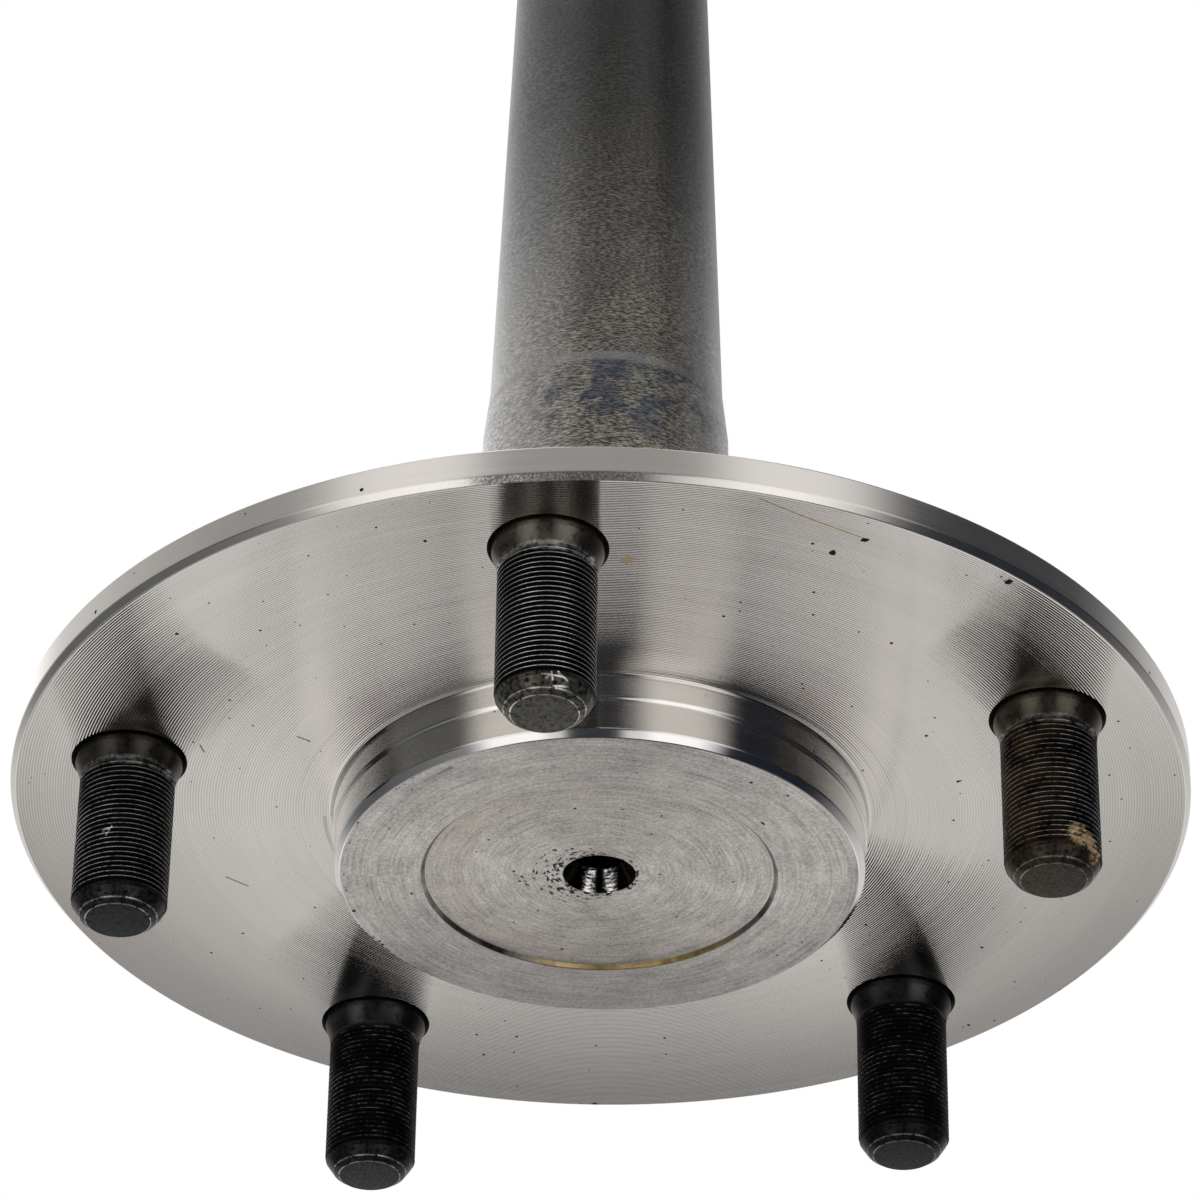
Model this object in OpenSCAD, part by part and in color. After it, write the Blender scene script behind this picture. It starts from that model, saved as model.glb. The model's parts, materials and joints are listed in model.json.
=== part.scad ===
// Driven rear axle shaft: one forging with a wheel flange, a bearing journal and a
// splined inner end, and five wheel studs pressed into the flange. Millimetres.
// Z runs along the shaft. The stud tips stand on Z = 0 and the splined end points up.
// Heights called "from the wheel face" are measured from the flange's outboard face.

/* [Flange] */
// Diameter of the wheel flange
flange_d = 173.2; // [170:0.2:200]
// Thickness of the flange at the studs
flange_t = 7; // [6.5:0.5:14]
// Height of the outer rim, outboard chamfer included
rim_t = 5; // [3:0.5:6]
// Radial width of the sloping inboard edge
rim_slope_w = 4.5; // [2:0.5:5.5]
// Chamfer round the outboard edge
rim_chamfer = 0.9; // [0.4:0.1:2]

/* [Pilot] */
// Diameter of the drum land, next to the flange
drum_land_d = 78.6; // [74:0.1:84]
// Length of the drum land
drum_land_h = 4; // [2.5:0.5:6]
// Step in radius from the drum land down to the wheel land
pilot_step = 0.4; // [0.2:0.1:1]
// Length of the whole pilot, from the wheel face
pilot_h = 10.2; // [9:0.1:16]
// Chamfer round the pilot's end
pilot_chamfer = 1; // [0.6:0.1:2]
// Fillet between the drum land and the wheel face
root_fillet = 0.8; // [0.4:0.1:1.5]
// Diameter of the turned recess in the pilot's end
recess_d = 50.8; // [40:0.1:60]
// Depth of the turned recess
recess_depth = 0.7; // [0.4:0.1:3]

/* [Lathe centres] */
// Mouth diameter of the centre hole in each end
centre_mouth_d = 10.8; // [8:0.1:14]
// Diameter of the drilled hole below the cone
centre_drill_d = 7; // [3:0.1:7.5]
// Full angle of the centre's cone
centre_angle = 60; // [55:5:90]
// Length of the drilled hole below the cone
centre_drill_h = 7; // [4:0.5:12]
// Full angle of the drill's point
drill_angle = 118; // [90:2:140]

/* [Shaft] */
// Length of the shaft from the wheel face to the inner end
shaft_l = 780; // [600:5:950]
// Diameter of the bearing and seal journal
journal_d = 37.8; // [36.5:0.1:44]
// End of the journal, from the wheel face
journal_end = 68; // [50:1:110]
// Fillet between the flange and the journal
hub_fillet = 14; // [8:1:20]
// Length of the slope from the journal down to the neck
shoulder_l = 8.5; // [2:0.5:12]
// Diameter at the thick end of the tapered neck
neck_d = 36; // [32:0.1:36.4]
// End of the tapered neck, from the wheel face
neck_end = 175; // [120:1:300]
// Diameter of the plain shaft
body_d = 30; // [28:0.1:30.2]

/* [Spline] */
// Number of spline teeth
spline_teeth = 30; // [24:1:35]
// Diameter over the teeth
spline_d = 32.8; // [32:0.1:35]
// Diameter at the bottom of the tooth spaces
spline_root_d = 30.4; // [30.2:0.1:31]
// Length of the splined part, lead-in chamfers included
spline_l = 92; // [60:1:130]
// Lean of each tooth flank from the tooth's centre line
flank_angle = 30; // [20:5:45]

/* [Retaining groove] */
// Diameter at the bottom of the retaining groove
groove_d = 24; // [20:0.5:27]
// Width of the retaining groove
groove_w = 6.5; // [4:0.5:10]
// Length of the button past the groove
button_l = 9; // [6:0.5:14]
// Diameter of the button
button_d = 30; // [28:0.5:30]
// Chamfer round the button's end
button_chamfer = 1.5; // [0.5:0.1:3]

/* [Studs] */
// Number of wheel studs
stud_count = 5; // [4:1:6]
// Diameter of the circle through the studs
bolt_circle_d = 139.7; // [135:0.1:142]
// Angle of the first stud about the shaft
first_stud_angle = -96.3; // [-180:0.1:180]
// Outside diameter of the studs' thread
thread_d = 13.8; // [12:0.1:14.5]
// Reach of the studs past the wheel face
stud_reach = 27; // [22:0.5:50]
// Diameter of the pressed shank and of the collar that it ends in
shank_d = 15.5; // [15:0.1:16]
// Reach of the collar past the wheel face
collar_h = 1; // [0.8:0.1:3]
// Length of the cone from the collar down to the thread
collar_cone_h = 3.5; // [2:0.1:5]
// Length of the slope that leads into the thread
lead_h = 2; // [1:0.1:3]
// Depth of the lead-in slope, a little more than the thread's depth
lead_depth = 1.3; // [0.5:0.1:1.5]
// Length of the bevel round the stud's end
tip_bevel_h = 0.7; // [0.4:0.1:1.5]
// Diameter of the flat at the stud's end
tip_d = 9.2; // [8:0.1:10.5]
// Diameter of the stud's head, behind the flange
head_d = 20; // [18:0.2:22]
// Thickness of the stud's head
head_t = 3; // [2.4:0.2:7]
// Chamfer round the head
head_chamfer = 0.8; // [0.3:0.1:1.2]
// Clearance between a shank and its hole
shank_gap = 0.05; // [0.02:0.01:0.1]
// Chamfer at the outboard mouth of each stud hole
hole_chamfer = 0.6; // [0.3:0.1:1]

/* [Hidden] */
$fn = 96;

// Overlap that lets one cut run clear of the next face
cut_over = 1;

// Height of the wheel face above the stud tips
face_z = stud_reach;

// Radii of the flange and the pilot
flange_r = flange_d / 2;
drum_land_r = drum_land_d / 2;
wheel_land_r = drum_land_r - pilot_step;

// Heights along the shaft, from the wheel face
button_start = shaft_l - button_l;
groove_start = button_start - groove_w;
spline_start = groove_start - spline_l;

// Radii of the spline, its pitch circle and half of one tooth space there
spline_r = spline_d / 2;
spline_root_r = spline_root_d / 2;
pitch_r = (spline_r + spline_root_r) / 2;
half_space = PI * pitch_r / spline_teeth / 2;

// Radial drop of the chamfer at each end of the spline
spline_lead = spline_r - body_d / 2;

// Depth of a centre's cone, from its mouth to the drilled hole
centre_cone_h = (centre_mouth_d - centre_drill_d) / 2 / tan(centre_angle / 2);

// Depth of the drill's point
drill_point_h = centre_drill_d / 2 / tan(drill_angle / 2);

// Half of a space between two spline teeth at a given radius
function space_at(r) = half_space + (r - pitch_r) * tan(flank_angle);

// Half section of the forging: radius across, height from the wheel face up
module shaft_section() {
    flange_section();
    root_fillet_section();
    hub_fillet_section();
    shank_section();
}

// Pilot with its two lands and recess, and the flange with its chamfered rim
module flange_section() {
    polygon([
        [0, -pilot_h + recess_depth],
        [recess_d / 2, -pilot_h + recess_depth],
        [recess_d / 2 + recess_depth, -pilot_h],
        [wheel_land_r - pilot_chamfer, -pilot_h],
        [wheel_land_r, -pilot_h + pilot_chamfer],
        [wheel_land_r, -drum_land_h - pilot_step],
        [drum_land_r, -drum_land_h],
        [drum_land_r, 0],
        [flange_r - rim_chamfer, 0],
        [flange_r, rim_chamfer],
        [flange_r, rim_t],
        [flange_r - rim_slope_w, flange_t],
        [0, flange_t]
    ]);
}

// Round fillet from the drum land out to the wheel face
module root_fillet_section() {
    translate([drum_land_r, 0])
        difference() {
            translate([-cut_over, -root_fillet])
                square(root_fillet + cut_over);
            translate([root_fillet, -root_fillet])
                circle(root_fillet);
        }
}

// Round fillet from the flange's inboard face up to the journal
module hub_fillet_section() {
    translate([journal_d / 2, flange_t])
        difference() {
            translate([-cut_over, -cut_over])
                square(hub_fillet + cut_over);
            translate([hub_fillet, hub_fillet])
                circle(hub_fillet);
        }
}

// Journal, tapered neck, plain shaft, spline blank, retaining groove and end button
module shank_section() {
    polygon([
        [0, 0],
        [journal_d / 2, 0],
        [journal_d / 2, journal_end],
        [neck_d / 2, journal_end + shoulder_l],
        [body_d / 2, neck_end],
        [body_d / 2, spline_start],
        [spline_r, spline_start + spline_lead],
        [spline_r, groove_start - spline_lead],
        [body_d / 2, groove_start],
        [groove_d / 2, groove_start],
        [groove_d / 2, button_start],
        [button_d / 2, button_start],
        [button_d / 2, shaft_l - button_chamfer],
        [button_d / 2 - button_chamfer, shaft_l],
        [0, shaft_l]
    ]);
}

// Lathe centre, cut upwards from a face at height 0
module lathe_centre() {
    rotate_extrude()
        polygon([
            [0, -cut_over],
            [centre_mouth_d / 2, -cut_over],
            [centre_mouth_d / 2, 0],
            [centre_drill_d / 2, centre_cone_h],
            [centre_drill_d / 2, centre_cone_h + centre_drill_h],
            [0, centre_cone_h + centre_drill_h + drill_point_h]
        ]);
}

// Spaces between the spline teeth, cut along the whole splined part
module spline_spaces() {
    outer_r = spline_r + cut_over;
    for (tooth = [0 : spline_teeth - 1])
        rotate(tooth * 360 / spline_teeth)
            translate([0, 0, spline_start])
                linear_extrude(spline_l)
                    polygon([
                        [spline_root_r, -space_at(spline_root_r)],
                        [outer_r, -space_at(outer_r)],
                        [outer_r, space_at(outer_r)],
                        [spline_root_r, space_at(spline_root_r)]
                    ]);
}

// Places its children at each stud of the bolt circle
module at_studs() {
    for (stud = [0 : stud_count - 1])
        rotate(first_stud_angle + stud * 360 / stud_count)
            translate([bolt_circle_d / 2, 0, 0])
                children();
}

// Stud hole through the flange, chamfered at its outboard mouth
module stud_hole() {
    hole_r = shank_d / 2 + shank_gap;
    rotate_extrude()
        polygon([
            [0, -cut_over],
            [hole_r + hole_chamfer, -cut_over],
            [hole_r + hole_chamfer, 0],
            [hole_r, hole_chamfer],
            [hole_r, flange_t + cut_over],
            [0, flange_t + cut_over]
        ]);
}

// One stud: tip, thread, collar, pressed shank and the head behind the flange
module wheel_stud() {
    rotate_extrude()
        polygon([
            [0, -stud_reach],
            [tip_d / 2, -stud_reach],
            [thread_d / 2 - lead_depth, -stud_reach + tip_bevel_h],
            [thread_d / 2, -stud_reach + tip_bevel_h + lead_h],
            [thread_d / 2, -collar_h - collar_cone_h],
            [shank_d / 2, -collar_h],
            [shank_d / 2, flange_t],
            [head_d / 2, flange_t],
            [head_d / 2, flange_t + head_t - head_chamfer],
            [head_d / 2 - head_chamfer, flange_t + head_t],
            [0, flange_t + head_t]
        ]);
}

// The forging, with its lathe centres, stud holes and spline cut
module axle_shaft() {
    color("dimgray")
        translate([0, 0, face_z])
            difference() {
                rotate_extrude()
                    shaft_section();
                translate([0, 0, -pilot_h + recess_depth])
                    lathe_centre();
                translate([0, 0, shaft_l])
                    mirror([0, 0, 1])
                        lathe_centre();
                at_studs()
                    stud_hole();
                spline_spaces();
            }
}

// Five studs, each pressed in from the inboard side until its head seats
module wheel_studs() {
    color("black")
        translate([0, 0, face_z])
            at_studs()
                wheel_stud();
}

axle_shaft();
wheel_studs();
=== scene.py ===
"""Looks of an axle shaft: a turned steel flange on a dark forged shaft, with five black wheel studs.

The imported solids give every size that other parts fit. The forging and the studs are modelled again here with
rounded edges and cut threads, and stand for those solids. Lengths are in metres, in the solids' own frame: the
shaft runs along Z and the stud tips stand on Z = 0.
"""
import json
import logging
import math
from collections.abc import Iterable
from dataclasses import dataclass, field
from enum import IntEnum

import bmesh
import bpy
from mathutils import Matrix, Vector


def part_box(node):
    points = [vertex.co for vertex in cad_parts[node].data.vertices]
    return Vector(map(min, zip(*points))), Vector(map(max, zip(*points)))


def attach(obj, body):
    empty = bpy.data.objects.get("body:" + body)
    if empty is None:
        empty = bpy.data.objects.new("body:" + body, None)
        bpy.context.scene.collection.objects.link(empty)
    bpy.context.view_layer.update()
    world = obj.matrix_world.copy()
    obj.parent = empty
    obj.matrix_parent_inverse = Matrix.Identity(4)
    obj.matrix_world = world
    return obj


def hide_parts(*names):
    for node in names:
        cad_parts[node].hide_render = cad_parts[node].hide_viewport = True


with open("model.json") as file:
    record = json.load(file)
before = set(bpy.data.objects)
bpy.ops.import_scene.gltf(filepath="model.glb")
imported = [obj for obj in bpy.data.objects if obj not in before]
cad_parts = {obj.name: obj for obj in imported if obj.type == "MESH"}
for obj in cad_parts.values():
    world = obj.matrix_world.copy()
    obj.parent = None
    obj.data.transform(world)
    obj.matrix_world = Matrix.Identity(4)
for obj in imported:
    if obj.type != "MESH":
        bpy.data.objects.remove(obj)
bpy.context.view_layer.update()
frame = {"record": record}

LOG = logging.getLogger("axle")
MM = 0.001
MOUNTS = {mount["name"]: mount for mount in frame["record"]["mounts"]}
FACE_HEIGHT = MOUNTS["wheel_face"]["pos_m"][2]
Colour = tuple[float, float, float, float]
Point = tuple[float, float, float]


def grey(level: float, warmth: float = 0.0) -> Colour:
    """Returns a grey of that level, warmer above 0 and cooler below."""
    return (level * (1 + warmth), level, level * (1 - warmth), 1.0)


# Shader maths


class Wire:
    """One output of a shader node, with Python's operators for its maths."""

    def __init__(self, graph: "Graph", socket: bpy.types.NodeSocket) -> None:
        """Holds a socket of a graph."""
        self.graph = graph
        self.socket = socket

    def out(self, name: str) -> "Wire":
        """Returns another output of the same node."""
        return Wire(self.graph, self.socket.node.outputs[name])

    def maths(self, operation: str, first: object, second: object = 0.0) -> "Wire":
        """Returns the result of a Math node.

        Args:
            operation: the Math node's operation.
            first: its first value, a number or a wire.
            second: its second value, a number or a wire.

        Returns:
            The wire that leaves the new node.
        """
        return self.graph.add("ShaderNodeMath", {"operation": operation}, {0: first, 1: second})

    def __add__(self, other: object) -> "Wire":
        """Returns the sum."""
        return self.maths("ADD", self, other)

    __radd__ = __add__

    def __mul__(self, other: object) -> "Wire":
        """Returns the product."""
        return self.maths("MULTIPLY", self, other)

    def __sub__(self, other: object) -> "Wire":
        """Returns the difference."""
        return self.maths("SUBTRACT", self, other)

    def __rsub__(self, other: object) -> "Wire":
        """Returns the difference, taken from a number."""
        return self.maths("SUBTRACT", other, self)

    def __truediv__(self, other: object) -> "Wire":
        """Returns the quotient."""
        return self.maths("DIVIDE", self, other)

    def __pow__(self, other: object) -> "Wire":
        """Returns the power."""
        return self.maths("POWER", self, other)

    def clamped(self) -> "Wire":
        """Returns the value kept between 0 and 1."""
        return self.graph.add("ShaderNodeClamp", {}, {0: self})

    def ramp(self, low: float, high: float) -> "Wire":
        """Returns a smooth step: 0 at low, 1 at high; low may be above high."""
        settings = {"interpolation_type": "SMOOTHSTEP"}
        if low < high:
            return self.graph.add("ShaderNodeMapRange", settings, {0: self, 1: low, 2: high, 3: 0.0, 4: 1.0})
        return self.graph.add("ShaderNodeMapRange", settings, {0: self, 1: high, 2: low, 3: 1.0, 4: 0.0})

    def window(self, low: float, high: float, edge: float) -> "Wire":
        """Returns 1 between low and high, falling to 0 over an edge outside them."""
        return self.ramp(low - edge, low) * self.ramp(high + edge, high)

    def blend(self, first: object, second: object) -> "Wire":
        """Returns a colour between two, with this wire as the share of the second."""
        settings = {"data_type": "RGBA", "clamp_factor": True}
        node = self.graph.add("ShaderNodeMix", settings, {0: self, 6: first, 7: second})
        return Wire(self.graph, node.socket.node.outputs[2])


class Graph:
    """Builds one node tree from Python expressions."""

    def __init__(self, tree: bpy.types.NodeTree) -> None:
        """Empties a tree to start from."""
        self.tree = tree
        tree.nodes.clear()

    def add(self, kind: str, settings: dict | None = None, sockets: dict | None = None) -> Wire:
        """Adds a node.

        Args:
            kind: the node's type.
            settings: its own properties, set first.
            sockets: the value or wire for each input, by name or number.

        Returns:
            The node's first output.
        """
        node = self.tree.nodes.new(kind)
        for name, value in (settings or {}).items():
            setattr(node, name, value)
        for name, value in (sockets or {}).items():
            if isinstance(value, Wire):
                self.tree.links.new(value.socket, node.inputs[name])
            else:
                node.inputs[name].default_value = value
        return Wire(self, node.outputs[0]) if node.outputs else Wire(self, node.inputs[0])

    def vector(self, operation: str, first: object, second: object, result: str = "Vector") -> Wire:
        """Returns the result of a Vector Math node."""
        return self.add("ShaderNodeVectorMath", {"operation": operation}, {0: first, 1: second}).out(result)

    def place(self, centre: Point = (0.0, 0.0, 0.0)) -> Wire:
        """Returns Object coordinates counted from a point."""
        return self.vector("SUBTRACT", self.add("ShaderNodeTexCoord").out("Object"), centre)

    def split(self, place: Wire) -> tuple[Wire, Wire, Wire]:
        """Returns the three parts of a vector."""
        parts = self.add("ShaderNodeSeparateXYZ", {}, {0: place})
        return parts, parts.out("Y"), parts.out("Z")

    def polar(self, place: Wire) -> tuple[Wire, Wire, Wire]:
        """Returns a place's distance from the Z axis, its angle about it and its height."""
        x, y, z = self.split(place)
        return (x * x + y * y) ** 0.5, x.maths("ARCTAN2", y, x), z

    def point(self, x: object, y: object, z: object = 0.0) -> Wire:
        """Returns a vector of three values."""
        return self.add("ShaderNodeCombineXYZ", {}, {0: x, 1: y, 2: z})

    def noise(self, place: Wire, scale: float, detail: float = 2.0, rough: float = 0.5) -> Wire:
        """Returns cloudy noise from 0 to 1."""
        sockets = {"Vector": place, "Scale": scale, "Detail": detail, "Roughness": rough}
        return self.add("ShaderNodeTexNoise", {"noise_dimensions": "3D"}, sockets)

    def specks(self, place: Wire, scale: float, share: float, size: float) -> Wire:
        """Returns small scattered spots on a flat map.

        Args:
            place: the map's coordinates.
            scale: cells per metre, at most one spot each.
            share: the share of cells that hold a spot.
            size: the largest spot's radius, in cells.

        Returns:
            1 in a spot and 0 elsewhere.
        """
        sockets = {"Vector": place, "Scale": scale}
        cells = self.add("ShaderNodeTexVoronoi", {"voronoi_dimensions": "2D"}, sockets)
        chance = self.add("ShaderNodeSeparateColor", {}, {0: cells.out("Color")})
        reach = chance.out("Green") ** 2 * size + size * 0.25
        kept = chance.ramp(1 - share, 1.001 - share)
        return kept * (cells / reach).ramp(1.0, 0.6)

    def spot(self, place: Wire, centre: Point, radius: float, ragged: Wire) -> Wire:
        """Returns one ragged spot: 1 inside and 0 outside."""
        away = self.vector("DISTANCE", place, centre, "Value")
        return (away / radius + (ragged - 0.5) * 1.6).ramp(1.0, 0.7)

    def spots(self, place: Wire, spots: Iterable[tuple[Point, float]], ragged: Wire) -> Wire:
        """Returns several ragged spots, each given by its centre and radius, added up."""
        return sum(self.spot(place, centre, radius, ragged) for centre, radius in spots)

    def stroke(self, place: Wire, start: Point, end: Point, width: float) -> Wire:
        """Returns one straight line between two points: 1 on it and 0 beside it."""
        span = Vector(end) - Vector(start)
        rise = self.vector("SUBTRACT", place, start)
        share = self.vector("DOT_PRODUCT", rise, tuple(span / span.length_squared), "Value").clamped()
        nearest = self.add("ShaderNodeVectorMath", {"operation": "SCALE"}, {0: tuple(span), "Scale": share})
        return (self.vector("DISTANCE", rise, nearest, "Value") / width).ramp(1.0, 0.5)

    def strokes(self, place: Wire, lines: Iterable[tuple[Point, Point]], width: float) -> Wire:
        """Returns several straight lines, each given by its two ends, added up."""
        return sum(self.stroke(place, start, end, width) for start, end in lines)

    def surface(self, sockets: dict, height: Wire | None = None, depth: float = 0.0) -> None:
        """Ends the tree in one Principled shader.

        Args:
            sockets: the shader's values and wires.
            height: relief from 0 to 1, if any.
            depth: how deep that relief is.
        """
        if height is not None:
            bump = {"Height": height, "Distance": depth, "Strength": 1.0}
            sockets = sockets | {"Normal": self.add("ShaderNodeBump", {}, bump)}
        shader = self.add("ShaderNodeBsdfPrincipled", {}, sockets)
        self.add("ShaderNodeOutputMaterial", {}, {"Surface": shader})


def new_material(name: str) -> tuple[bpy.types.Material, Graph]:
    """Returns a new material and the graph that fills it."""
    material = bpy.data.materials.new(name)
    material.use_nodes = True
    return material, Graph(material.node_tree)


# Finishes


@dataclass(frozen=True)
class Grain:
    """Direction of the tool marks: light spreads across them and stays sharp along them."""

    spread: float

    def sockets(self) -> dict[str, float]:
        """Returns the shader's values for marks that run round the Z axis."""
        return {"Anisotropic": self.spread, "Anisotropic Rotation": 0.25}


@dataclass(frozen=True)
class WheelFaceSteel:
    """The flange's faced side: a fine groove per lathe turn, pits, hairlines, a golden scratch and dirt, with
    painted shade towards its outer edge and its +Y side.
    """

    name: str = "faced_wheel_face"
    level: float = 0.57
    warmth: float = 0.06
    roughness: float = 0.14
    grain: Grain = Grain(0.7)
    groove_pitch: float = 0.40 * MM
    groove_depth: float = 0.036 * MM
    pilot_radius: float = MOUNTS["drum_pilot"]["dims"]["r_mm"] * MM
    pits: tuple[tuple[Point, float], ...] = (
        ((55.7 * MM, -63.2 * MM, 0), 0.7 * MM),
        ((35.5 * MM, -72.8 * MM, 0), 0.6 * MM),
        ((31.3 * MM, -69.6 * MM, 0), 0.6 * MM),
        ((-0.1 * MM, 85.6 * MM, 0), 0.8 * MM),
    )
    dirt: tuple[tuple[Point, float], ...] = (
        ((3.2 * MM, -67.2 * MM, 0), 0.95 * MM),
        ((-67.0 * MM, 30.6 * MM, 0), 0.9 * MM),
    )
    dirt_colour: Colour = (0.58, 0.41, 0.23, 1)
    scratch: tuple[Point, ...] = (
        (20.9 * MM, -82.0 * MM, 0),
        (28.0 * MM, -77.4 * MM, 0),
        (35.5 * MM, -73.0 * MM, 0),
    )
    scratch_width: float = 0.15 * MM
    scratch_colour: Colour = (0.40, 0.27, 0.10, 1)
    hairlines: tuple[tuple[Point, Point], ...] = (
        ((-43.7 * MM, -21.3 * MM, 0), (-42.0 * MM, -20.2 * MM, 0)),
        ((-57.9 * MM, -18.7 * MM, 0), (-57.4 * MM, -16.9 * MM, 0)),
        ((-55.9 * MM, 17.6 * MM, 0), (-52.7 * MM, 20.1 * MM, 0)),
    )
    hairline_width: float = 0.16 * MM

    def material(self) -> bpy.types.Material:
        """Returns the finish as a material."""
        material, graph = new_material(self.name)
        place = graph.place((0, 0, FACE_HEIGHT))
        radius, angle, _ = graph.polar(place)
        _, y, _ = graph.split(place)
        feed = graph.noise(graph.point(radius * 60.0, angle * 0.8, 3.0), 1.0, 1.0) * 1.5
        across = radius.maths("FRACT", radius / self.groove_pitch + feed) - 0.5
        groove = across * across * 4
        chatter = graph.noise(graph.point(radius * 4200.0, angle * 1.2), 1.0, 2.0)
        bands = graph.noise(graph.point(radius * 240.0, angle * 0.6), 1.0, 2.0)
        clouds = graph.noise(place, 50.0, 4.0, 0.6)
        ragged = graph.noise(place, 1400.0, 2.0)
        root = radius.ramp(self.pilot_radius + 9 * MM, self.pilot_radius + 1 * MM)
        lines = graph.noise(graph.point(radius * 1900.0, angle * 0.5, 7.0), 1.0, 1.0).ramp(0.56, 0.7) * root
        pits = graph.specks(place, 170.0, 0.22, 0.05) + graph.specks(place, 420.0, 0.06, 0.08)
        pits = pits + graph.spots(place, self.pits, ragged)
        pits = pits + graph.strokes(place, self.hairlines, self.hairline_width) * 0.7
        dirt = graph.spots(place, self.dirt, ragged)
        gold = graph.strokes(place, zip(self.scratch, self.scratch[1:]), self.scratch_width)
        mean_groove = 0.33
        tone = (bands - 0.5) * 0.2 + (clouds - 0.5) * 0.15 + (chatter - 0.5) * 0.12
        tone = tone - (groove - mean_groove) * 0.06 + 0.5
        steel = tone.clamped().blend(grey(self.level * 0.6, self.warmth), grey(self.level * 1.4, self.warmth))
        # Painted shade: the face gets darker towards its outer edge and its +Y side.
        painted_shade = radius.ramp(50 * MM, 88 * MM) * y.ramp(-75 * MM, 60 * MM) * 0.7
        steel = painted_shade.blend(steel, grey(self.level * 0.3, self.warmth))
        steel = (lines * 0.45).blend(steel, grey(self.level * 0.35))
        steel = gold.blend(steel, self.scratch_colour)
        steel = dirt.blend(steel, self.dirt_colour)
        colour = pits.blend(steel, grey(0.015, 0.1))
        shine = (clouds - 0.5) * 0.06 + self.roughness + (pits + dirt).clamped() * 0.4
        values = {"Base Color": colour, "Metallic": 1.0 - dirt.clamped() * 0.8, "Roughness": shine}
        graph.surface(values | self.grain.sockets(), groove + chatter * 0.25 - pits, self.groove_depth)
        return material


@dataclass(frozen=True)
class LatheSteel:
    """Steel turned or ground on its outside: fine lines round the shaft, with spots where the cut tore."""

    name: str
    level: float
    roughness: float
    grain: Grain
    line_depth: float
    torn: float = 0.0
    torn_from: float = 0.0
    torn_to: float = 0.0
    pits: float = 0.03
    warmth: float = 0.055
    map_radius: float = 40 * MM

    def material(self) -> bpy.types.Material:
        """Returns the finish as a material."""
        material, graph = new_material(self.name)
        place = graph.place()
        radius, angle, height = graph.polar(place)
        around = graph.point(angle * self.map_radius, height - radius)
        lines = graph.noise(graph.point((height - radius) * 5200.0, angle * 0.8), 1.0, 3.0)
        clouds = graph.noise(place, 90.0, 3.0, 0.6)
        fine = graph.noise(place, 3200.0, 3.0, 0.7)
        pits = graph.specks(around, 330.0, self.pits, 0.1)
        torn = (fine * 0.6 + clouds * 0.4).ramp(0.36, 0.56) * self.torn
        torn = torn * (angle.window(self.torn_from, self.torn_to, 0.05) * 0.94 + 0.06)
        tone = ((lines - 0.5) * 0.4 + (clouds - 0.5) * 0.3 + 0.5).clamped()
        steel = tone.blend(grey(self.level * 0.78, self.warmth), grey(self.level * 1.2, self.warmth))
        steel = torn.blend(steel, grey(0.20, 0.04))
        colour = pits.blend(steel, grey(0.02, 0.1))
        shine = (clouds - 0.5) * 0.1 + (lines - 0.5) * 0.1 + self.roughness + pits * 0.4 + torn * 0.25
        values = {"Base Color": colour, "Metallic": 1.0, "Roughness": shine}
        graph.surface(values | self.grain.sockets(), lines + torn - pits, self.line_depth)
        return material


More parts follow.
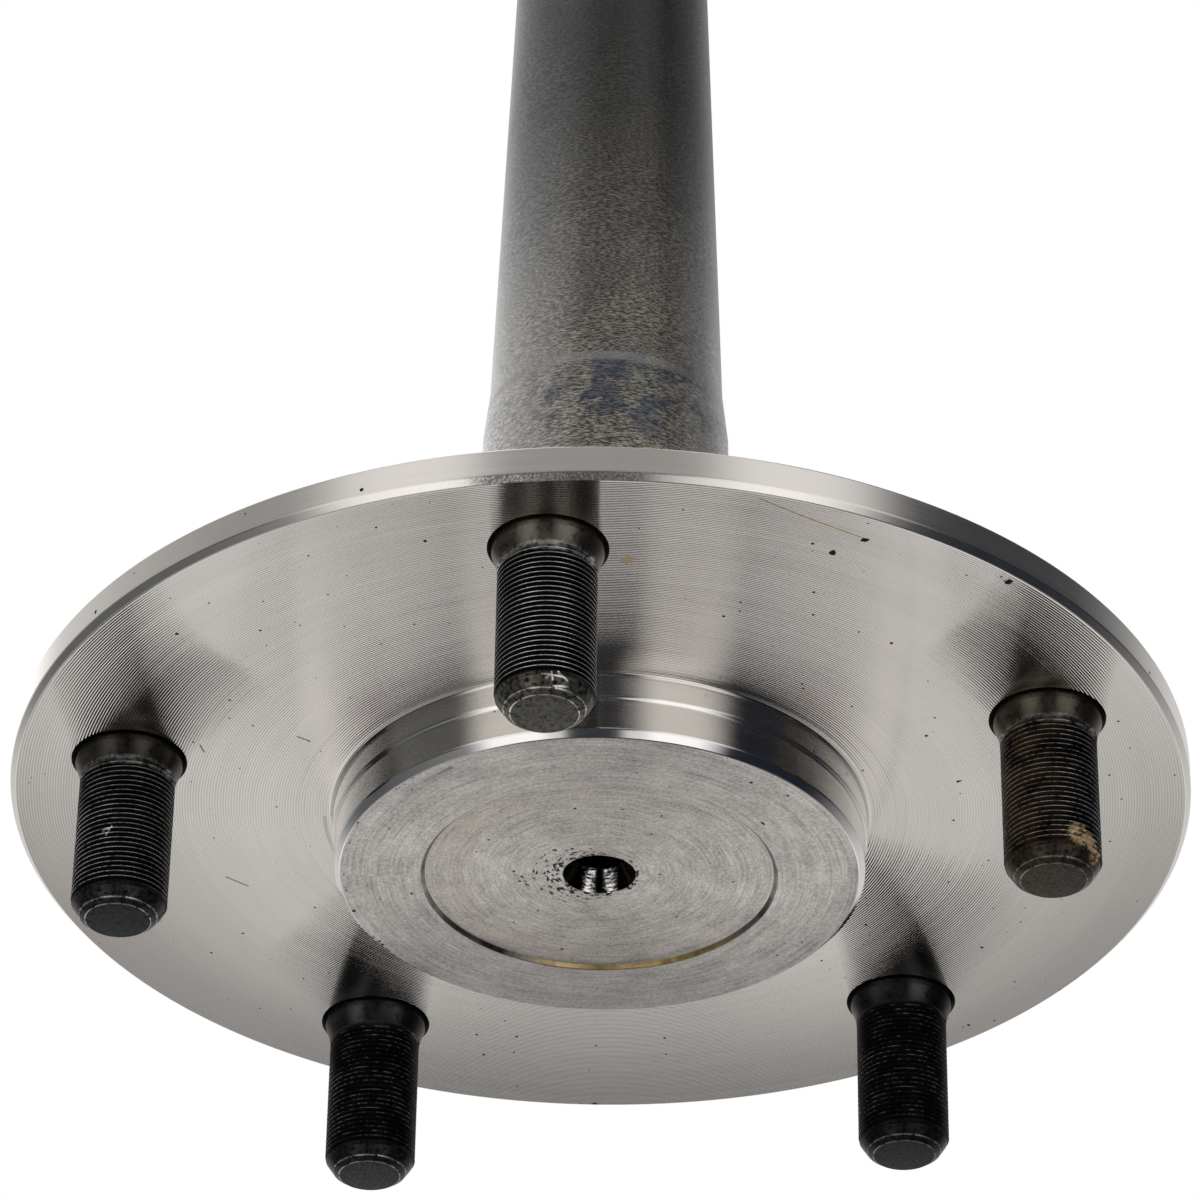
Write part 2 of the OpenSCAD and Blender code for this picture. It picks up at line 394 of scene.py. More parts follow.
@dataclass(frozen=True)
class PilotEndSteel:
    """Roughly faced steel: uneven rings, smears, short black marks and torn metal beside the centre hole."""

    name: str
    level: float = 0.475
    warmth: float = 0.055
    roughness: float = 0.42
    grain: Grain = Grain(0.55)
    hole_radius: float = 5.4 * MM
    edge_radius: float = 37.9 * MM
    recess_radius: float = 25.4 * MM
    dent: tuple[Point, Point] = ((-24.9 * MM, -25.9 * MM, 0), (-21.2 * MM, -29.6 * MM, 0))
    dent_width: float = 0.5 * MM
    chatter_marks: tuple[tuple[Point, Point], ...] = (
        ((-12.6 * MM, -1.0 * MM, 0), (-11.5 * MM, 2.7 * MM, 0)),
        ((-11.4 * MM, 0.4 * MM, 0), (-10.4 * MM, 3.4 * MM, 0)),
    )
    mark_width: float = 0.3 * MM
    oil_colour: Colour = (0.34, 0.26, 0.18, 1)

    def material(self) -> bpy.types.Material:
        """Returns the finish as a material."""
        material, graph = new_material(self.name)
        place = graph.place((0, 0, FACE_HEIGHT))
        radius, angle, _ = graph.polar(place)
        x, y, _ = graph.split(place)
        flat = graph.point(x, y)
        rings = graph.noise(graph.point(radius * 2700.0, angle * 2.4), 1.0, 3.0, 0.6)
        smears = graph.noise(graph.point(radius * 420.0, angle * 3.2, 4.0), 1.0, 4.0, 0.65)
        mottle = graph.noise(place, 2400.0, 4.0, 0.8)
        clouds = graph.noise(place, 130.0, 4.0, 0.65)
        ragged = graph.noise(place, 1800.0, 2.0)
        dashes = graph.specks(graph.point(angle * 12 * MM, radius), 420.0, 0.06, 0.1)
        dots = graph.specks(place, 560.0, 0.05, 0.16)
        edge = radius.window(self.edge_radius - 0.6 * MM, self.edge_radius, 0.15 * MM)
        nicks = graph.specks(place, 900.0, 0.5, 0.34) * edge * x.ramp(-22 * MM, -33 * MM)
        nicks = nicks + graph.strokes(flat, self.chatter_marks, self.mark_width) * ragged.ramp(0.5, 0.56)
        dent = graph.stroke(flat, *self.dent, self.dent_width) * smears.ramp(0.3, 0.6)
        reach = x.ramp(3 * MM, -8 * MM) * 5 * MM + 1.2 * MM
        nearby = ((radius - self.hole_radius) / reach).ramp(1.0, 0.0)
        torn = graph.noise(graph.point(radius * 1500.0, angle * 5.0, 2.0), 1.0, 3.0, 0.6) + nearby * 0.12
        torn = torn.ramp(0.63, 0.67) * nearby.ramp(0.0, 0.15)
        # Darker towards +Y, and in smears towards -Y.
        smear_and_far_side_darkening = y.ramp(2 * MM, 36 * MM) * 0.3 + smears.ramp(0.56, 0.72) * y.ramp(-12 * MM, -24 * MM) * 0.3
        tone = (rings - 0.5) * 1.0 + (smears - 0.5) * 0.75 + (mottle - 0.5) * 1.9 + (clouds - 0.5) * 0.6 + 0.5
        dim, bright = grey(self.level * 0.45, self.warmth), grey(self.level * 1.5, self.warmth)
        steel = tone.clamped().blend(dim, bright)
        steel = smear_and_far_side_darkening.blend(steel, grey(0.06, 0.1))
        oily = radius.window(self.recess_radius - 5 * MM, self.recess_radius, 1 * MM)
        oily = oily * clouds.ramp(0.4, 0.6) * x.ramp(8 * MM, -14 * MM)
        steel = (oily * 0.25).blend(steel, self.oil_colour)
        steel = (dent * 0.6).blend(steel, grey(0.08, -0.05))
        black = (dashes + dots + nicks + torn).clamped()
        shine = (mottle - 0.5) * 0.25 + self.roughness
        values = {"Base Color": black.blend(steel, grey(0.02, 0.1)), "Metallic": 1.0, "Roughness": shine}
        graph.surface(values | self.grain.sockets(), rings * 0.6 + mottle * 0.5 - black, 0.03 * MM)
        return material


@dataclass(frozen=True)
class StainedWall:
    """The recess's wall: old oil burnt brown and gold in patches."""

    name: str = "stained_wall"

    def material(self) -> bpy.types.Material:
        """Returns the finish as a material."""
        material, graph = new_material(self.name)
        place = graph.place()
        _, angle, _ = graph.polar(place)
        patch = graph.noise(place, 160.0, 3.0, 0.6)
        golden = angle.window(0.9, 1.75, 0.35)
        dark = patch.ramp(0.3, 0.7).blend(grey(0.03, 0.1), grey(0.26, 0.08))
        gold = patch.ramp(0.35, 0.6).blend((0.16, 0.105, 0.035, 1), (0.50, 0.37, 0.17, 1))
        values = {"Base Color": golden.blend(dark, gold), "Metallic": 0.9, "Roughness": 0.3}
        graph.surface(values, graph.noise(place, 900.0, 2.0), 0.03 * MM)
        return material


@dataclass(frozen=True)
class DrilledSteel:
    """Dark steel inside a drilled centre, as painted shade, with two bright spots of scored rings on its far
    side painted as glints.
    """

    name: str = "drilled_centre"

    def material(self) -> bpy.types.Material:
        """Returns the finish as a material."""
        material, graph = new_material(self.name)
        place = graph.place()
        _, angle, height = graph.polar(place)
        x, y, _ = graph.split(place)
        rings = graph.noise(graph.point(height * 3000.0, angle * 3.0), 1.0, 3.0, 0.6)
        # Painted highlight: two glints near the mouth on the far wall; the rest of the hole is painted near
        # black as shade.
        glint_places = x.window(-2.2 * MM, -0.9 * MM, 0.6 * MM) + x.window(0.8 * MM, 2.3 * MM, 0.6 * MM)
        painted_highlight_mask = graph.noise(place, 800.0, 3.0, 0.6).ramp(0.36, 0.56)
        bright = rings.ramp(0.40, 0.56) * glint_places * painted_highlight_mask * y.ramp(0.5 * MM, 2.5 * MM)
        tone = bright.blend(grey(0.012, 0.05), grey(0.7, 0.06))
        graph.surface({"Base Color": tone, "Metallic": 1.0, "Roughness": 0.12}, rings, 0.07 * MM)
        return material


@dataclass(frozen=True)
class ForgedSkin:
    """Dark scaled steel with short light dashes, painted light on its left side and right edge, a painted
    highlight band on the shoulder, a blued journal and a brown hub.
    """

    name: str = "forged_skin"
    roughness: float = 0.44
    dash_length: float = 0.8 * MM
    dash_width: float = 0.11 * MM
    dash_relief: float = 0.02 * MM
    shaft_radius: float = 18 * MM
    journal_end: float = 68 * MM
    hub_end: float = 48 * MM

    def material(self) -> bpy.types.Material:
        """Returns the finish as a material."""
        material, graph = new_material(self.name)
        place = graph.place((0, 0, FACE_HEIGHT))
        radius, angle, height = graph.polar(place)
        x, _, _ = graph.split(place)
        side = x / radius
        around = angle * (self.shaft_radius / self.dash_length)
        stroke = graph.point(around, height / self.dash_width, radius / self.dash_length)
        dashes = graph.noise(stroke, 1.0, 2.0, 0.6)
        soft = graph.noise(place, 60.0, 3.0, 0.6)
        patch = graph.noise(place, 190.0, 3.0, 0.6)
        low = height.ramp(self.journal_end + 67 * MM, self.hub_end)
        # Painted light: the left side and the right edge get lighter, more metallic copies of the skin's
        # colours.
        painted_side_light = side.ramp(-0.15, -0.9) + side.ramp(0.5, 0.95)
        marks = dashes.ramp(0.485, 0.555)
        dark = low.blend(grey(0.005, 0.02), grey(0.03, 0.035))
        dark = painted_side_light.blend(dark, low.blend(grey(0.12), grey(0.44, 0.02)))
        pale = low.blend((0.06, 0.055, 0.048, 1), (0.44, 0.395, 0.32, 1))
        pale = painted_side_light.blend(pale, low.blend(grey(0.27), grey(0.88, 0.025)))
        skin = (marks * (soft.ramp(0.25, 0.6) * 0.5 + 0.5)).blend(dark, pale)
        blued = height.window(self.hub_end + 12 * MM, self.journal_end + 2 * MM, 5 * MM)
        blued = blued * patch.ramp(0.46, 0.6) * side.window(-0.35, 0.6, 0.35)
        skin = (blued * 0.9).blend(skin, marks.blend((0.010, 0.02, 0.045, 1), (0.12, 0.13, 0.14, 1)))
        browned = height.ramp(self.hub_end + 9 * MM, self.hub_end + 1 * MM) * soft.ramp(0.3, 0.6) * 0.8
        skin = browned.blend(skin, marks.blend((0.12, 0.10, 0.075, 1), (0.50, 0.43, 0.32, 1)))
        # Painted highlight: a pale band across the shoulder.
        painted_highlight_mask = height.window(self.journal_end + 3.2 * MM, self.journal_end + 4.2 * MM, 0.7 * MM)
        colour = (painted_highlight_mask * soft.ramp(0.2, 0.7) * 0.6).blend(skin, grey(0.34, 0.03))
        shine = (soft - 0.5) * 0.15 + (dashes - 0.5) * 0.2 + self.roughness
        values = {"Base Color": colour, "Metallic": painted_side_light * 0.55 + 0.2, "Roughness": shine}
        graph.surface(values, dashes, self.dash_relief)
        return material


@dataclass(frozen=True)
class StudWear:
    """What the years left on one stud."""

    crests: float
    collar: Colour
    lead: Colour
    tip: Colour
    edge: float = 0.3
    scratches: tuple[tuple[float, float, float, float], ...] = ()
    dirt: tuple[tuple[Point, float], ...] = ()
    rust: float = 0.0


@dataclass(frozen=True)
class BlackStud:
    """Black phosphate on one stud, gone to bare metal along its crests, with a painted highlight of bare steel
    low on its collar, and its own dirt and scratches.
    """

    name: str
    centre: Point
    crest_radius: float
    reach: float
    tip_bevel: float
    lead: float
    collar_end: float
    wear: StudWear
    scratch_width: float = 0.17 * MM
    rust_colour: Colour = (0.055, 0.032, 0.014, 1)
    bare_steel: Colour = grey(0.70, 0.02)

    def material(self) -> bpy.types.Material:
        """Returns the finish as a material."""
        material, graph = new_material(self.name)
        place = graph.place(self.centre)
        radius, _, height = graph.polar(place)
        x, y, _ = graph.split(place)
        bevel_top = self.tip_bevel - self.reach
        clouds = graph.noise(place, 260.0, 4.0, 0.65)
        fine = graph.noise(place, 1500.0, 3.0, 0.6)
        speckle = graph.noise(place, 3600.0, 3.0, 0.7)
        thread = height.window(bevel_top + self.lead * 0.6, -self.collar_end, 0.5 * MM)
        crest = (radius - self.crest_radius).ramp(-0.02 * MM, -0.006 * MM) * thread
        bare = crest * ((clouds - 0.5) * 1.3 + (fine - 0.5) * 1.6 + self.wear.crests).clamped()
        edge = height.window(bevel_top - 0.05 * MM, bevel_top + 0.05 * MM, 0.06 * MM)
        edge = edge + height.window(-self.reach + 0.03 * MM, -self.reach + 0.1 * MM, 0.02 * MM)
        bare = bare + edge * (fine.ramp(0.35, 0.6) * self.wear.edge)
        # Painted highlight: bare steel in a band low on the collar's flare, where its highlight falls.
        flare = height.window(-self.collar_end + 0.1 * MM, -self.collar_end + 1.1 * MM, 0.3 * MM)
        bare = bare + flare * (fine.ramp(0.3, 0.62) * clouds.ramp(0.3, 0.6) * self.wear.crests)
        front = graph.point(x, 0.0, height)
        for start_x, start_z, end_x, end_z in self.wear.scratches:
            start, end = (start_x * MM, 0, start_z * MM), (end_x * MM, 0, end_z * MM)
            mark = graph.stroke(front, start, end, self.scratch_width)
            bare = bare + mark * y.ramp(0.0, -1 * MM) * fine.ramp(0.36, 0.5)
        black = clouds.ramp(0.3, 0.75).blend(grey(0.003, -0.1), grey(0.010, 0.03))
        collar = height.ramp(-self.collar_end + 0.2 * MM, -self.collar_end + 1.0 * MM)
        rust = clouds.ramp(0.3, 0.6) * x.ramp(5 * MM, -5 * MM) * self.wear.rust
        skin = rust.blend(black, self.rust_colour)
        skin = (collar * fine.ramp(0.1, 0.55)).blend(skin, self.wear.collar)
        cone = height.ramp(bevel_top + self.lead, bevel_top + self.lead * 0.75)
        skin = (cone * fine.ramp(0.3, 0.65)).blend(skin, self.wear.lead)
        end_face = height.ramp(-self.reach + 0.08 * MM, -self.reach + 0.02 * MM)
        skin = (end_face * speckle.ramp(0.48, 0.58)).blend(skin, self.wear.tip)
        soil = fine.ramp(0.4, 0.55).blend((0.13, 0.08, 0.035, 1), (0.62, 0.46, 0.28, 1))
        for centre, size in self.wear.dirt:
            skin = graph.spot(place, centre, size, fine).blend(skin, soil)
        colour = bare.clamped().blend(skin, self.bare_steel)
        shine = 0.32 + (fine - 0.5) * 0.2 + (clouds - 0.5) * 0.15
        metal = (bare + collar + cone * (1 - end_face) * 0.6).clamped()
        values = {"Base Color": colour, "Metallic": metal, "Roughness": shine, "Specular IOR Level": 0.05}
        graph.surface(values, fine, 0.012 * MM)
        return material


# Modelling


def activate(piece: bpy.types.Object) -> None:
    """Selects one piece alone and makes it active."""
    bpy.ops.object.select_all(action="DESELECT")
    piece.select_set(True)
    bpy.context.view_layer.objects.active = piece


def into_edit(piece: bpy.types.Object) -> None:
    """Makes one piece active and enters its edit mode with everything selected."""
    activate(piece)
    bpy.ops.object.mode_set(mode="EDIT")
    bpy.ops.mesh.select_mode(type="VERT")
    bpy.ops.mesh.select_all(action="SELECT")


def apply_modifier(piece: bpy.types.Object, kind: str, **settings: object) -> None:
    """Adds a modifier to a piece and applies it.

    Args:
        piece: the object to change.
        kind: the modifier's type.
        settings: the modifier's properties.
    """
    activate(piece)
    modifier = piece.modifiers.new(kind.lower(), kind)
    for name, value in settings.items():
        setattr(modifier, name, value)
    bpy.ops.object.modifier_apply(modifier=modifier.name)


def cut(piece: bpy.types.Object, cutter: bpy.types.Object) -> None:
    """Cuts one shape out of a piece and removes the cutter."""
    apply_modifier(piece, "BOOLEAN", operation="DIFFERENCE", solver="EXACT", object=cutter)
    bpy.data.objects.remove(cutter)


def round_edges(piece: bpy.types.Object, width: float, above: float = 20.0) -> None:
    """Rounds a piece's edges.

    Args:
        piece: the object to change.
        width: how far the rounding reaches from each edge.
        above: the angle in degrees above which an edge is rounded.
    """
    limit = {"limit_method": "ANGLE", "angle_limit": math.radians(above)}
    apply_modifier(piece, "BEVEL", width=width, segments=2, **limit)


def turn(name: str, section: Iterable[tuple[float, float]], segments: int) -> bpy.types.Object:
    """Draws a half section point by point and spins it about Z.

    Args:
        name: the new piece's name.
        section: radius and height of each point, from one end of the axis to the other.
        segments: faces round the axis.

    Returns:
        A closed solid of revolution.
    """
    points = list(section)
    bpy.ops.object.select_all(action="DESELECT")
    bpy.ops.mesh.primitive_circle_add(vertices=3, radius=MM)
    piece = bpy.context.object
    piece.name = piece.data.name = name
    into_edit(piece)
    bpy.ops.mesh.merge(type="CENTER")
    bpy.ops.transform.translate(value=(points[0][0], 0, points[0][1]))
    for here, there in zip(points, points[1:]):
        step = (there[0] - here[0], 0, there[1] - here[1])
        bpy.ops.mesh.extrude_vertices_move(TRANSFORM_OT_translate={"value": step})
    bpy.ops.mesh.select_all(action="SELECT")
    bpy.ops.mesh.spin(steps=segments, angle=2 * math.pi, center=(0, 0, 0), axis=(0, 0, 1))
    bpy.ops.mesh.select_all(action="SELECT")
    bpy.ops.mesh.remove_doubles(threshold=MM / 1000)
    bpy.ops.mesh.normals_make_consistent(inside=False)
    bpy.ops.object.mode_set(mode="OBJECT")
    return piece


def move_mesh(piece: bpy.types.Object, offset: Vector) -> None:
    """Moves a piece's mesh and leaves its object at the origin."""
    into_edit(piece)
    bpy.ops.transform.translate(value=offset)
    bpy.ops.object.mode_set(mode="OBJECT")


def copy_piece(piece: bpy.types.Object, name: str) -> bpy.types.Object:
    """Returns a copy of a piece with its own mesh."""
    activate(piece)
    bpy.ops.object.duplicate(linked=False)
    double = bpy.context.object
    double.name = double.data.name = name
    return double


def join(pieces: list[bpy.types.Object]) -> bpy.types.Object:
    """Joins several pieces into the first and returns it."""
    activate(pieces[0])
    for piece in pieces:
        piece.select_set(True)
    bpy.ops.object.join()
    return pieces[0]


def smooth(piece: bpy.types.Object, sharpest: float) -> None:
    """Shades a piece smooth round its axis and leaves each edge above an angle in degrees sharp."""
    activate(piece)
    bpy.ops.object.shade_smooth_by_angle(angle=math.radians(sharpest))


# The forging


class Zone(IntEnum):
    """Stretches of the forging that were machined in different ways."""

    SKIN = 0
    WHEEL_FACE = 1
    RIM = 2
    RIM_CHAMFER = 3
    PILOT_WALL = 4
    PILOT_END = 5
    RECESS = 6
    RECESS_WALL = 7
    HOLE = 8
    SPLINE = 9
    GAP = 10


@dataclass
class Axle:
    """The forging: pilot, flange, journal, tapered neck, plain shaft, spline and end button."""

    flange_radius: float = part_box("axle_shaft")[1].x
    shaft_end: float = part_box("axle_shaft")[1].z
    drum_land: float = MOUNTS["drum_pilot"]["dims"]["r_mm"] * MM
    wheel_land: float = MOUNTS["wheel_pilot"]["dims"]["r_mm"] * MM
    journal_radius: float = MOUNTS["bearing_journal"]["dims"]["r_mm"] * MM
    flange_thickness: float = 7 * MM
    rim_height: float = 5 * MM
    rim_slope: float = 4.5 * MM
    rim_chamfer: float = 0.9 * MM
    drum_land_length: float = 4 * MM
    pilot_length: float = 10.2 * MM
    pilot_chamfer: float = 1 * MM
    root_fillet: float = 0.8 * MM
    recess_radius: float = 25.4 * MM
    recess_depth: float = 0.7 * MM
    centre_mouth: float = 5.4 * MM
    centre_drill: float = 3.5 * MM
    centre_cone: float = 3.29 * MM
    centre_depth: float = 10.29 * MM
    drill_point: float = 2.1 * MM
    hub_fillet: float = 14 * MM
    journal_end: float = 68 * MM
    shoulder: float = 8.5 * MM
    neck_radius: float = 18 * MM
    neck_end: float = 175 * MM
    body_radius: float = 15 * MM
    spline_teeth: int = 30
    spline_radius: float = 16.4 * MM
    spline_root: float = 15.2 * MM
    spline_length: float = 92 * MM
    flank_angle: float = 30.0
    groove_radius: float = 12 * MM
    groove_width: float = 6.5 * MM
    button_length: float = 9 * MM
    button_radius: float = 15 * MM
    button_chamfer: float = 1.5 * MM
    edge_rounding: float = 0.16 * MM
    fillet_steps: int = 24
    sharpest: float = 5.0
    segments: int = 256

    @property
    def shaft_length(self) -> float:
        """Length from the wheel face to the inner end."""
        return self.shaft_end - FACE_HEIGHT

    @property
    def spline_end(self) -> float:
        """Height of the spline's inner end above the wheel face."""
        return self.shaft_length - self.button_length - self.groove_width

    def section(self) -> list[tuple[float, float]]:
        """Returns the forging's half section, with heights from the wheel face."""
        pilot_end = -self.pilot_length
        floor = pilot_end + self.recess_depth
        spline_start = self.spline_end - self.spline_length
        lead = self.spline_radius - self.body_radius
        quarter = [math.pi / 2 * step / self.fillet_steps for step in range(self.fillet_steps + 1)]
        root = [
            (
                self.drum_land + self.root_fillet * (1 - math.cos(angle)),
                self.root_fillet * (math.sin(angle) - 1),
            )
            for angle in quarter
        ]
        fillet = [
            (
                self.journal_radius + self.hub_fillet * (1 - math.sin(angle)),
                self.flange_thickness + self.hub_fillet * (1 - math.cos(angle)),
            )
            for angle in quarter
        ]
        outboard = [
            (0, floor + self.centre_depth + self.drill_point),
            (self.centre_drill, floor + self.centre_depth),
            (self.centre_drill, floor + self.centre_cone),
            (self.centre_mouth, floor),
            (self.recess_radius, floor),
            (self.recess_radius + self.recess_depth, pilot_end),
            (self.wheel_land - self.pilot_chamfer, pilot_end),
            (self.wheel_land, pilot_end + self.pilot_chamfer),
            (self.wheel_land, -self.drum_land_length - (self.drum_land - self.wheel_land)),
            (self.drum_land, -self.drum_land_length),
            *root,
            (self.drum_land + self.root_fillet * 1.5, 0),
            (self.flange_radius - self.rim_chamfer, 0),
            (self.flange_radius, self.rim_chamfer),
            (self.flange_radius, self.rim_height),
            (self.flange_radius - self.rim_slope, self.flange_thickness),
        ]
        inboard = [
            (self.journal_radius, self.journal_end),
            (self.neck_radius, self.journal_end + self.shoulder),
            (self.body_radius, self.neck_end),
            (self.body_radius, spline_start),
            (self.spline_radius, spline_start + lead),
            (self.spline_radius, self.spline_end - lead),
            (self.body_radius, self.spline_end),
            (self.groove_radius, self.spline_end),
            (self.groove_radius, self.spline_end + self.groove_width),
            (self.button_radius, self.spline_end + self.groove_width),
            (self.button_radius, self.shaft_length - self.button_chamfer),
            (self.button_radius - self.button_chamfer, self.shaft_length),
            (self.centre_mouth, self.shaft_length),
            (self.centre_drill, self.shaft_length - self.centre_cone),
            (self.centre_drill, self.shaft_length - self.centre_depth),
            (0, self.shaft_length - self.centre_depth - self.drill_point),
        ]
        return outboard + fillet + inboard

    def spline_cutter(self) -> bpy.types.Object:
        """Returns the spaces between the spline teeth as one cutter."""
        pitch_radius = (self.spline_radius + self.spline_root) / 2
        half_space = math.pi * pitch_radius / self.spline_teeth / 2
        outer = self.spline_radius + 1 * MM

        def half_width(radius: float) -> float:
            """Returns half of a space at that radius."""
            return half_space + (radius - pitch_radius) * math.tan(math.radians(self.flank_angle))

        spaces = []
        for tooth in range(self.spline_teeth):
            bpy.ops.object.select_all(action="DESELECT")
            bpy.ops.mesh.primitive_cube_add(size=2)
            space = bpy.context.object
            into_edit(space)
            shape = bmesh.from_edit_mesh(space.data)
            middle = self.spline_end - self.spline_length / 2
            for corner in shape.verts:
                radius = outer if corner.co.x > 0 else self.spline_root
                side = half_width(radius) * corner.co.y
                corner.co = (radius, side, middle + corner.co.z * self.spline_length / 2)
            bmesh.update_edit_mesh(space.data)
            angle = 2 * math.pi * tooth / self.spline_teeth
            bpy.ops.transform.rotate(value=angle, orient_axis="Z", center_override=(0, 0, 0))
            bpy.ops.object.mode_set(mode="OBJECT")
            spaces.append(space)
        return join(spaces)

    def zone(self, centre: Vector, normal: Vector) -> Zone:
        """Returns the zone of a face.

        Args:
            centre: the face's middle, with its height from the wheel face.
            normal: the way it faces.

        Returns:
            The stretch of the forging that it belongs to.
        """
        radius = math.hypot(centre.x, centre.y)
        height = centre.z
        slack = 0.05 * MM
        if radius < self.centre_mouth - slack:
            return Zone.HOLE
        if height > self.spline_end - self.spline_length:
            return Zone.SPLINE
        if height > self.rim_height + slack:
            return Zone.RIM if radius > self.journal_radius + self.hub_fillet else Zone.SKIN
        if radius > self.flange_radius - self.rim_chamfer - slack and height > -slack and normal.z > -0.95:
            return Zone.RIM_CHAMFER if normal.z < -0.3 else Zone.RIM
        if radius > self.drum_land + slack:
            if normal.z < -0.97 or abs(height) < 0.01 * MM or radius < self.drum_land + self.root_fillet:
                return Zone.WHEEL_FACE
            return Zone.GAP
        if radius > self.recess_radius + self.recess_depth + slack:
            return Zone.PILOT_END if normal.z < -0.9 else Zone.PILOT_WALL
        if radius > self.recess_radius + slack and normal.z > -0.95:
            return Zone.RECESS_WALL
        return Zone.RECESS

    def dress(self, forging: bpy.types.Object) -> None:
        """Gives each zone of the forging its finish."""
        finishes = {
            Zone.SKIN: ForgedSkin(),
            Zone.WHEEL_FACE: WheelFaceSteel(),
            Zone.RIM: LatheSteel(
                "turned_rim", 0.61, 0.24, Grain(0.6), 0.006 * MM, pits=0.05, map_radius=85 * MM
            ),
            Zone.RIM_CHAMFER: LatheSteel(
                "torn_chamfer", 0.75, 0.22, Grain(0.5), 0.006 * MM, torn=1.0, torn_from=-1.75, torn_to=-1.53
            ),
            Zone.PILOT_WALL: LatheSteel("polished_pilot", 0.76, 0.13, Grain(0.5), 0.003 * MM, warmth=0.03),
            Zone.PILOT_END: PilotEndSteel("rough_pilot_end"),
            Zone.RECESS: PilotEndSteel("rough_recess", 0.47, 0.07),
            Zone.RECESS_WALL: StainedWall(),
            Zone.HOLE: DrilledSteel(),
            Zone.SPLINE: LatheSteel("cut_spline", 0.36, 0.34, Grain(0.3), 0.01 * MM),
            Zone.GAP: LatheSteel("shaded_gap", 0.08, 0.35, Grain(0.3), 0.01 * MM),
        }
        for zone in Zone:
            forging.data.materials.append(finishes[zone].material())
        for face in forging.data.polygons:
            face.material_index = self.zone(face.center, face.normal)

    def build(self, stud_places: list[Vector], hole: "StudHole") -> bpy.types.Object:
        """Models the forging.

        Args:
            stud_places: where each stud's axis meets the wheel face.
            hole: the hole that each stud is pressed into.

        Returns:
            The finished forging, with a material slot for each zone.
        """
        forging = turn("axle_forging", self.section(), self.segments)
        round_edges(forging, self.edge_rounding)
        cut(forging, join([hole.cutter(place, self.flange_thickness) for place in stud_places]))
        cut(forging, self.spline_cutter())
        smooth(forging, self.sharpest)
        self.dress(forging)
        move_mesh(forging, Vector((0, 0, FACE_HEIGHT)))
        return forging


# The studs


@dataclass
class StudHole:
    """Hole that a stud is pressed into, chamfered where it opens on the wheel face."""

    radius: float = 7.8 * MM
    chamfer: float = 0.6 * MM
    over: float = 1 * MM
    segments: int = 72

    def cutter(self, place: Vector, depth: float) -> bpy.types.Object:
        """Returns the hole as a solid to cut with.

        Args:
            place: where its axis meets the wheel face.
            depth: the flange's thickness there.

        Returns:
            The cutter, in place.
        """
        mouth = self.radius + self.chamfer
        section = [
            (0, -self.over),
            (mouth + self.over, -self.over),
            (self.radius, self.chamfer),
            (self.radius, depth + self.over),
            (0, depth + self.over),
        ]
        cutter = turn("stud_hole", section, self.segments)
        move_mesh(cutter, place)
        return cutter


